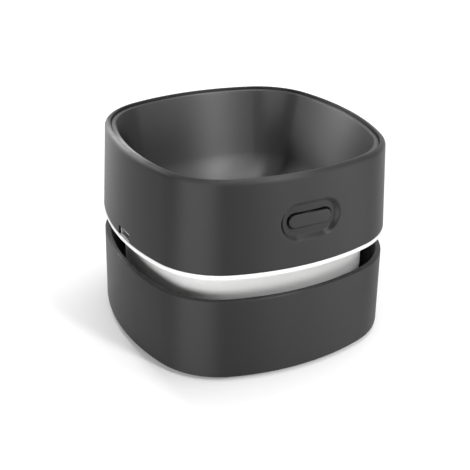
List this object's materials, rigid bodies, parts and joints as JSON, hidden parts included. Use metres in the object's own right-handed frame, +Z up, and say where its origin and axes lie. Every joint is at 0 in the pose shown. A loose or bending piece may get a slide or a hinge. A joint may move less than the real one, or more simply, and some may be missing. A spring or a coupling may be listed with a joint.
{
  "type": "desktop mini vacuum cleaner",
  "caption": "Low rounded-square desk vacuum: dark upper unit with an open cup and side push button, on a white neck in a dark dust box with a suction mouth below.",
  "frame": {"origin": "on the desk, under the middle of the body", "axes": "+Z up, the push button on the -Y face, the charging port on the -X face"},
  "size_m": [0.087, 0.087, 0.0651],
  "materials": {
    "shell_plastic": "fine satin",
    "white_plastic": "satin",
    "inner_plastic": "matte",
    "fan_plastic": "matte",
    "rubber": "matte",
    "nylon": "bristle",
    "steel": "plated",
    "bronze": "sintered",
    "copper": "bare",
    "iron": "laminated",
    "ferrite": "matte",
    "board": "lacquered",
    "switch_plastic": "matte",
    "cell_foil": "foil",
    "foam": "foam",
    "wire_cover": "smooth"
  },
  "bodies": {
    "lower_unit": {"lower_shell": "shell_plastic", "suction_plate": "inner_plastic", "rubber_feet": "rubber", "bristle_tufts": "nylon", "base_screws": "steel"},
    "upper_unit": {"neck_housing": "white_plastic", "neck_seal": "rubber", "fan_cover": "inner_plastic", "cover_screws": "steel", "filter_frame": "inner_plastic", "filter_mesh": "steel", "motor_plate": "inner_plastic", "assembly_screws": "steel", "motor_screws": "steel", "motor_can": "steel", "motor_end_cap": "inner_plastic", "motor_bushes": "bronze", "motor_magnets": "ferrite", "upper_shell": "shell_plastic", "bowl_insert": "shell_plastic", "switch_body": "switch_plastic", "switch_board": "board", "usb_socket": "steel", "charging_board": "board", "board_screws": "steel", "battery_cell": "cell_foil", "battery_pad": "foam", "motor_leads": "wire_cover", "battery_leads": "wire_cover", "switch_leads": "wire_cover"},
    "button": {"power_button": "shell_plastic", "switch_plunger": "switch_plastic"},
    "rotor": {"motor_shaft": "steel", "armature": "iron", "commutator": "copper", "impeller": "fan_plastic"}
  },
  "joints": [
    {"name": "upper_lift", "type": "slide", "parent": "lower_unit", "child": "upper_unit", "axis": [0, 0, 1], "range_m": [0, 0.03]},
    {"name": "button_press", "type": "slide", "parent": "upper_unit", "child": "button", "axis": [0, 1, 0], "range_m": [0, 0.0004], "stiffness_N_per_m": 3000, "springref_m": -0.0002},
    {"name": "rotor_spin", "type": "hinge", "parent": "upper_unit", "child": "rotor", "pos_m": [0, 0, 0.0197], "axis": [0, 0, 1], "continuous": true}
  ]
}
